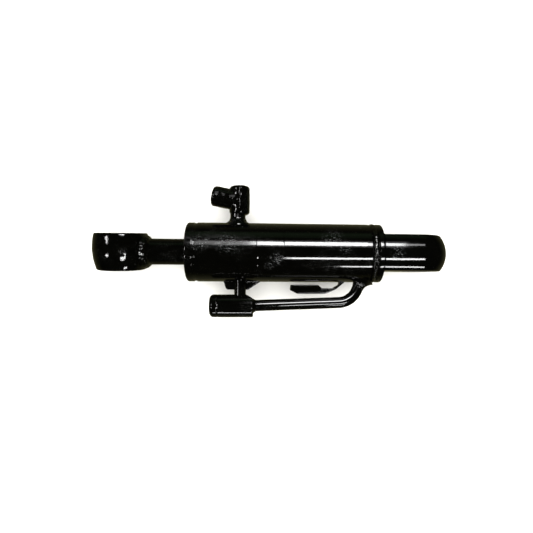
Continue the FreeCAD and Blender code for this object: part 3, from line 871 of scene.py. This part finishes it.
def make_rod_port():
    neck = lathe("port_neck", [Vector((SUNK_R, NECK_R)), Vector((NECK_TOP + 4, NECK_R))],
                 Vector((ROD_NECK_X, 0, 0)), -Y, X, 96)
    finished(neck, "rod_port_neck", CAST_PAINT)
    fillet_weld("port_neck_bead", "rod_port_weld", "barrel", Vector((ROD_NECK_X, 0, 0)), -Y, X,
                ROD_PORT_WELD, 24, ROD_PORT_WELD_SKIRT)
    profile = rounded([
        (NECK_TOP, 0.3),
        (NECK_TOP, ELBOW_R, ELBOW_ROUND),
        (ELBOW_TOP, ELBOW_R, ELBOW_ROUND),
        (ELBOW_TOP, 0.3),
    ], 8)
    post = lathe("port_body", stepped(profile, 2.5), Vector((ELBOW_X, 0, 0)), -Y, X, 96)
    mouth = ROD_PORT + ROD_PORT_OUT * THREAD_LENGTH / 2
    reach = (mouth.x - ELBOW_X) / ROD_PORT_OUT.x
    boss_profile = rounded([(-reach, 0.3), (-reach, ELBOW_R, 3.0), (0, ELBOW_R, ELBOW_ROUND), (0, 0.3)], 8)
    boss = lathe("boss", stepped(boss_profile, 2.5), mouth, ROD_PORT_OUT, Z, 96)
    combine(post, boss, "UNION")
    soften(post, 0.6, 3)
    uneven(post, 6, 0.42)
    combine(post, port_cutter("cutter", mouth, ROD_PORT_OUT, Z), "DIFFERENCE", 32, "MANIFOLD")
    return neck, finished(post, "rod_port_body", CAST_PAINT)


def soften(piece, voxel, rounds):
    """Blend the join of two solids as a casting or a dressed weld does."""
    remesh = piece.modifiers.new("skin", "REMESH")
    remesh.mode = "VOXEL"
    remesh.voxel_size = voxel * MM
    smooth = piece.modifiers.new("soft", "SMOOTH")
    smooth.factor = 0.5
    smooth.iterations = rounds
    bake_modifiers(piece, 60)


def uneven(piece, size, depth):
    """Move a dense mesh in and out along its normals by slow noise."""
    for vertex in piece.data.vertices:
        shift = lumps(vertex.co / MM, size, depth, 7.0) - depth * 0.4
        vertex.co += vertex.normal * shift * MM
    shade(piece, 60)


BLOCK_END_X = box_mm("base_port_block")[1].x
BLOCK_R = 13.9
BLOCK_START_X = 206.0
POST_MIDDLE = (box_mm("port_support_post")[0].x + box_mm("port_support_post")[1].x) / 2
POST_R = (box_mm("port_support_post")[1].x - box_mm("port_support_post")[0].x) / 2
PIPE_R = 6.9
PIPE_SLOPE = math.radians(2.2)
PIPE_LEAN = math.radians(65.0)
PIPE_BEND_R = 26.0
PIPE_ENTRY_X = 73.0
PIPE_START_X = 213.2
BEVEL_LENGTH = 9.0
BEVEL_DROP = 6.0
NOSE_LENGTH = 9.5
PIPE_WELD = ((-2.0, 15.5), (3.5, 9.3), (10.5, PIPE_R - 0.05))
BLOCK_WELD = ((-3.5, 10.5), (1.2, 7.9), (3.2, PIPE_R - 0.05))


def make_block():
    start = BLOCK_START_X
    end = BLOCK_END_X
    profile = rounded([
        (start, 0.3),
        (start, BLOCK_R, 1.6),
        (end, BLOCK_R, 5.0),
        (end, 0.3),
    ], 10)

    def relief(along, angle, radius):
        """A slanting flat on one side of the tail end, and a shallow groove behind the nose."""
        limit = BLOCK_R - BEVEL_DROP * max(0.0, 1 - (along - start) / BEVEL_LENGTH)
        towards = -math.cos(angle)
        place = (along, radius * math.cos(angle), radius * math.sin(angle))
        groove = 0.4 * math.exp(-((along - end + NOSE_LENGTH) / 0.5) ** 2)
        radius += lumps(place, 14, 0.06, 1.0) - 0.05 - groove
        if towards > 0.05:
            radius = min(radius, limit / towards)
        return radius

    block = lathe("port_block", stepped(profile, 0.4), Vector((0, PLANE_Y, 0)), X, Y, 128, relief)
    combine(block, port_cutter("cutter", Vector((end, PLANE_Y, 0)), X, Z), "DIFFERENCE", 32)
    moved(block, LIFTED)
    return finished(block, "base_port_block", SMOOTH_PAINT)


def make_post():
    post = lathe("support_post", stepped([Vector((SUNK_R, POST_R)), Vector((PLANE_Y - 8, POST_R))], 2.0),
                 Vector((POST_MIDDLE, 0, 0)), Y, X, 72)
    moved(post, LIFTED)
    return finished(post, "port_support_post", CAST_PAINT)


def make_gusset():
    low, high = box_mm("port_gusset")
    gusset = plate("support_gusset", [
        (195.8, SUNK_R, 0),
        (196.6, BARREL_R - 0.6, 3.0),
        (212.4, high.y - 0.6, 3.5),
        (239.4, high.y - 0.6, 3.5),
        (243.2, BARREL_R - 0.4, 2.0),
        (244.0, SUNK_R, 0),
    ], -8.0, 3.0, 1.0)
    return finished(gusset, "port_gusset", SMOOTH_PAINT)


def edge_bead(name, node, start, end, levels, radius):
    """Rippled runs of weld where a plate stands on the barrel."""
    verts = []
    faces = []
    around = 16
    for number, level in enumerate(levels):
        middle = Vector((0, math.sqrt(BARREL_R ** 2 - level ** 2) - 0.2, level))
        length = end - start
        steps = int(length / 0.3)
        base = len(verts)
        for step in range(steps + 1):
            share = step / steps
            taper = math.sin(math.pi * min(1, max(0, share))) ** 0.25 if 0 < step < steps else 0.05
            swell = radius * taper * (0.9 + 0.12 * ripple(0, step * 0.3 / 2.2, 1, 1.0))
            for k in range(around):
                angle = TURN * k / around
                ring = Vector((0, math.cos(angle), math.sin(angle))) * swell
                place = middle + X * (start + length * share) + ring
                verts.append(place + Vector((0, 1, 1)) * lumps(place, 3, 0.12, number + 1.0))
        for step in range(steps):
            low = base + step * around
            for k in range(around):
                after = (k + 1) % around
                faces.append((low + k, low + after, low + around + after, low + around + k))
        faces.append(tuple(base + k for k in range(around)))
        faces.append(tuple(base + steps * around + k for k in reversed(range(around))))
    bead = new_piece(name, verts, faces, 70)
    return finished(bead, node, WELD_PAINT)


def pipe_foot():
    lean = Vector((math.cos(PIPE_LEAN), math.sin(PIPE_LEAN), 0))
    return Vector((PIPE_ENTRY_X, BARREL_R, 0)) - lean * 1.5, lean


def pipe_path():
    """(place, heading) down the feed pipe: a straight run, one bend and a short leaning foot."""
    foot, lean = pipe_foot()
    along = Vector((math.cos(PIPE_SLOPE), math.sin(PIPE_SLOPE), 0))
    start = Vector((PIPE_START_X, PLANE_Y, 0))
    turn = PIPE_LEAN - PIPE_SLOPE
    offset = start - foot
    corner = foot + lean * ((offset.y * along.x - offset.x * along.y) / math.sin(turn))
    tangent = PIPE_BEND_R * math.tan(turn / 2)
    bend_in = corner + along * tangent
    centre = bend_in - Vector((-along.y, along.x, 0)) * PIPE_BEND_R
    path = [(start.lerp(bend_in, k / 24), -along) for k in range(24)]
    for k in range(25):
        swing = Matrix.Rotation(turn * k / 24, 3, "Z")
        path.append((centre + swing @ (bend_in - centre), swing @ -along))
    bend_out = path[-1][0]
    path += [(bend_out.lerp(foot, k / 6), -lean) for k in range(1, 7)]
    return path


def make_pipe():
    path = pipe_path()
    pipe = sweep("pipe_body", path, PIPE_R, 64)
    (first, first_heading), (last, last_heading) = path[0], path[-1]
    longer = [(first + X * 2, first_heading)] + path + [(last + last_heading * 2, last_heading)]
    bore = sweep("pipe_bore", longer, OILWAY_R, 32)
    combine(pipe, bore, "DIFFERENCE")
    moved(pipe, LIFTED)
    finished(pipe, "feed_pipe", SMOOTH_PAINT)
    foot, lean = pipe_foot()
    side = Vector((lean.y, -lean.x, 0))
    fillet_weld("pipe_foot_bead", "feed_pipe_weld", "barrel", foot, lean, side, PIPE_WELD, 26, matrix=LIFTED)
    start, out = path[0]
    tail = start + out * (PIPE_START_X - BLOCK_START_X)
    fillet_weld("pipe_block_bead", "block_pipe_weld", "barrel", tail, out, out.cross(Z), BLOCK_WELD, 18,
                matrix=LIFTED)


def make_hook():
    low, high = box_mm("hose_hook")
    inner = 39.9
    slot = 43.9
    root = low.x + 6.3
    hook = plate("hook_plate", [
        (low.x, SUNK_R, 0),
        (low.x, 36.9, 1.5),
        (low.x + 10.5, 45.6, 10.0),
        (low.x + 23.3, high.y, 14.0),
        (high.x - 9.0, high.y, 5.0),
        (high.x, high.y - 4.6, 1.6),
        (high.x - 0.6, inner, 1.2),
        (125.4, inner, 2.5),
        (120.9, slot, 3.0),
        (107.0, slot, 4.0),
        (root + 0.9, inner - 0.3, 3.0),
        (root, SUNK_R, 0),
    ], low.z, high.z, 1.1)
    return finished(hook, "hose_hook", SMOOTH_PAINT)


# ---------------------------------------------------------------- pieces kept from the CAD model

KEPT = {
    "gland_o_ring": SEAL_RUBBER,
    "rod_wiper": SEAL_RUBBER,
    "rod_seal": SEAL_RUBBER,
    "piston_o_ring": SEAL_RUBBER,
    "piston_seal": SEAL_RUBBER,
    "gland_backup_ring": GUIDE_PLASTIC,
    "rod_guide_ring": GUIDE_PLASTIC,
    "piston_guide_ring_rear": GUIDE_PLASTIC,
    "piston_guide_ring_front": GUIDE_PLASTIC,
    "piston": TURNED_STEEL,
    "piston_nut": TURNED_STEEL,
}


def dress_kept_nodes():
    for name, material in KEPT.items():
        node = frame["nodes"][name]
        for slot in node.material_slots:
            slot.material = material


# ---------------------------------------------------------------- studio

CAMERA_PLACE = Vector((0.1915, 0.0373, 0.5901))
CAMERA_TARGET = Vector((0.1550, 0.0171, 0.0))
CAMERA_ROLL = math.radians(0.30)
CAMERA_LENS = 31.9
CAMERA_SHIFT = -0.0525
LAMP_DISTANCE = 1.4
STRIPS = (
    # degrees from overhead about X, width in degrees, first x, last x, radiance
    (-32.0, 13.5, 0.24, -0.24, 22.0),
    (-32.0, 11.0, -0.24, -0.38, 18.0),
    (-32.0, 7.0, -0.38, -0.50, 4.0),
    (-32.0, 24.0, 0.24, -0.40, 1.0),
    (24.0, 6.0, 0.10, -0.50, 21.0),
    (56.0, 4.5, -0.12, -0.50, 18.0),
)
HAZE_STRIP = (-32.0, 16.0, 0.74, 0.24, 2.2)
SOFT_BOX = ((0.15, 0.0, 2.0), (0.15, 0, 0), (2.6, 2.6), 4.0)
PORT_LAMP = ((0.15, -0.29, 1.36), (0.22, -0.06, 0), (0.045, 0.20), 11.0)
BLOCK_LAMP = ((0.29, 0.951, 0.309), (0.23, 0.06, 0), (0.24, 0.05), 20.0)
# each panel, and each single lamp below: place, aim, size, radiance
PANELS = (
    ((1.63, -0.27, 1.35), (0.37, 0, 0), (0.28, 0.34), 11.0),
    ((1.66, 0.60, 1.35), (0.37, 0, 0), (0.40, 0.24), 15.0),
)


def make_camera():
    data = bpy.data.cameras.new("camera")
    data.lens = CAMERA_LENS
    data.sensor_width = 36.0
    data.shift_x = CAMERA_SHIFT
    data.clip_start = 0.01
    camera = bpy.data.objects.new("camera", data)
    back = (CAMERA_PLACE - CAMERA_TARGET).normalized()
    right = (-Y).cross(back).normalized()
    up = back.cross(right)
    turn = Matrix((right, up, back)).transposed()
    camera.matrix_world = Matrix.Translation(CAMERA_PLACE) @ (
        turn @ Matrix.Rotation(CAMERA_ROLL, 3, "Z")).to_4x4()
    bpy.context.scene.collection.objects.link(camera)
    bpy.context.scene.camera = camera


def area_lamp(name, place, aim, size, radiance, mirrored=True, shape="RECTANGLE"):
    """A soft patch of light, seen by the enamel's gloss or by its body colour but not by the camera."""
    data = bpy.data.lights.new(name, "AREA")
    data.shape = shape
    data.size = size[0]
    data.size_y = size[1]
    data.energy = radiance * math.pi * size[0] * size[1]
    lamp = bpy.data.objects.new(name, data)
    place = Vector(place)
    back = (place - Vector(aim)).normalized()
    right = (X - back * X.dot(back)).normalized()
    facing = Matrix((right, back.cross(right), back)).transposed()
    lamp.matrix_world = Matrix.Translation(place) @ facing.to_4x4()
    lamp.visible_camera = False
    lamp.visible_glossy = mirrored
    lamp.visible_diffuse = not mirrored
    bpy.context.scene.collection.objects.link(lamp)
    return lamp


def strip_lamp(name, lean, width, first, last, radiance):
    """A long lamp over the object, parallel to X."""
    angle = math.radians(lean)
    place = Vector(((first + last) / 2, LAMP_DISTANCE * math.sin(angle), LAMP_DISTANCE * math.cos(angle)))
    breadth = 2 * LAMP_DISTANCE * math.tan(math.radians(width) / 2)
    return area_lamp(name, place, Vector((place.x, 0, 0)), (first - last, breadth), radiance)


def make_lights():
    for number, strip in enumerate(STRIPS):
        strip_lamp("strip_%d" % number, *strip)
    for number, panel in enumerate(PANELS):
        area_lamp("panel_%d" % number, *panel, shape="ELLIPSE")
    area_lamp("soft_box", *SOFT_BOX, mirrored=False)


def light_only(lamp, *pieces, state="INCLUDE"):
    """Let only these pieces mirror a lamp, or all but these."""
    lit = bpy.data.collections.new(lamp.name)
    for piece in pieces:
        lit.objects.link(piece)
    for item in lit.collection_objects:
        item.light_linking.link_state = state
    lamp.light_linking.receiver_collection = lit


# what the paint mirrors below the horizon: place between straight down (0) and straight up (1), colour
ROOM_STOPS = (
    (0.20, (0.09, 0.086, 0.045, 1)),
    (0.40, (0.034, 0.033, 0.016, 1)),
    (0.49, (0.004, 0.004, 0.003, 1)),
)
FLOOR_HALF = 4.0


def make_world():
    """Pale surroundings, which the enamel mirrors as a dim room over an olive workshop floor."""
    world = bpy.data.worlds.new("studio")
    bpy.context.scene.world = world
    world.use_nodes = True
    tree = world.node_tree

    def add(kind, **inputs):
        node = tree.nodes.new(kind)
        for name, value in inputs.items():
            node.inputs[name.replace("_", " ")].default_value = value
        return node

    split = add("ShaderNodeSeparateXYZ")
    tree.links.new(add("ShaderNodeTexCoord").outputs["Generated"], split.inputs["Vector"])
    ramp = add("ShaderNodeValToRGB")
    stops = ramp.color_ramp
    stops.elements[0].color = (0.19, 0.18, 0.10, 1)
    stops.elements[1].color = (0.002, 0.002, 0.002, 1)
    for place, colour in ROOM_STOPS:
        stops.elements.new(place).color = colour
    height = add("ShaderNodeMapRange", From_Min=-1.0)
    tree.links.new(split.outputs["Z"], height.inputs["Value"])
    tree.links.new(height.outputs["Result"], ramp.inputs["Fac"])
    aside = tree.nodes.new("ShaderNodeMath")
    aside.operation = "MULTIPLY"
    aside.inputs[1].default_value = -1.0    # only the side away from the pipe
    tree.links.new(split.outputs["Y"], aside.inputs[0])
    side_walls = add("ShaderNodeMapRange", From_Min=0.78, From_Max=0.95)
    tree.links.new(aside.outputs["Value"], side_walls.inputs["Value"])
    above = add("ShaderNodeMapRange", From_Min=0.05, From_Max=0.25)
    tree.links.new(split.outputs["Z"], above.inputs["Value"])
    green = tree.nodes.new("ShaderNodeMath")
    green.operation = "MULTIPLY"
    tree.links.new(side_walls.outputs["Result"], green.inputs[0])
    tree.links.new(above.outputs["Result"], green.inputs[1])
    room = tree.nodes.new("ShaderNodeMix")
    room.data_type = "RGBA"
    room.inputs[7].default_value = (0.06, 0.10, 0.055, 1)
    tree.links.new(ramp.outputs["Color"], room.inputs[6])
    tree.links.new(green.outputs["Value"], room.inputs["Factor"])
    mix = tree.nodes.new("ShaderNodeMix")
    mix.data_type = "RGBA"
    mix.inputs[6].default_value = (1.2, 1.2, 1.19, 1)
    tree.links.new(room.outputs[2], mix.inputs[7])
    tree.links.new(add("ShaderNodeLightPath").outputs["Is Glossy Ray"], mix.inputs["Factor"])
    tree.links.new(mix.outputs[2], tree.nodes["Background"].inputs["Color"])


def make_floor():
    mesh = bpy.data.meshes.new("floor")
    signs = ((-1, -1), (1, -1), (1, 1), (-1, 1))
    corners = [Vector((x * FLOOR_HALF, y * FLOOR_HALF, FLOOR_Z)) for x, y in signs]
    mesh.from_pydata(corners, [], [(0, 1, 2, 3)])
    floor = bpy.data.objects.new("floor", mesh)
    bpy.context.scene.collection.objects.link(floor)
    paint = Paint("floor_paper")
    colour = paint.blend(paint.noise(3, 3), (0.80, 0.79, 0.75), (0.83, 0.82, 0.78))
    paint.link(colour, paint.shader.inputs["Base Color"])
    paint.shader.inputs["Roughness"].default_value = 0.9
    paint.shader.inputs["Specular IOR Level"].default_value = 0.1
    mesh.materials.append(paint.material)
    floor.visible_glossy = False


# ---------------------------------------------------------------- everything together

make_camera()
make_lights()
make_world()
make_floor()
tube = make_tube()
light_only(strip_lamp("haze_lamp", *HAZE_STRIP), tube)
make_base_eye()
make_base_weld()
make_bush("base_bush_sleeve", "base_eye_bush", "barrel", BASE_EYE, BASE_PIN)
make_head()
make_rod()
make_rod_eye()
make_bush("rod_bush_sleeve", "rod_eye_bush", "rod", ROD_EYE, ROD_PIN)
eye_bead = fillet_weld("rod_eye_bead", "rod_eye_weld", "rod", Vector(), X, Y, ROD_EYE_WELD, 26)
light_only(bpy.data.objects["panel_1"], eye_bead, state="EXCLUDE")
neck, elbow = make_rod_port()
light_only(area_lamp("port_lamp", *PORT_LAMP), neck, elbow)
block = make_block()
light_only(area_lamp("block_lamp", *BLOCK_LAMP), block)
light_only(bpy.data.objects["strip_0"], neck, elbow, block, eye_bead, state="EXCLUDE")
make_post()
make_gusset()
edge_bead("gusset_bead", "gusset_weld", 199.0, 242.0, (-8.0, 3.0), 2.0)
make_pipe()
make_hook()
edge_bead("hook_bead", "hook_weld", 92.8, 98.9, (-5.0, 3.0), 2.0)
dress_kept_nodes()
bpy.context.scene.view_settings.view_transform = "Standard"
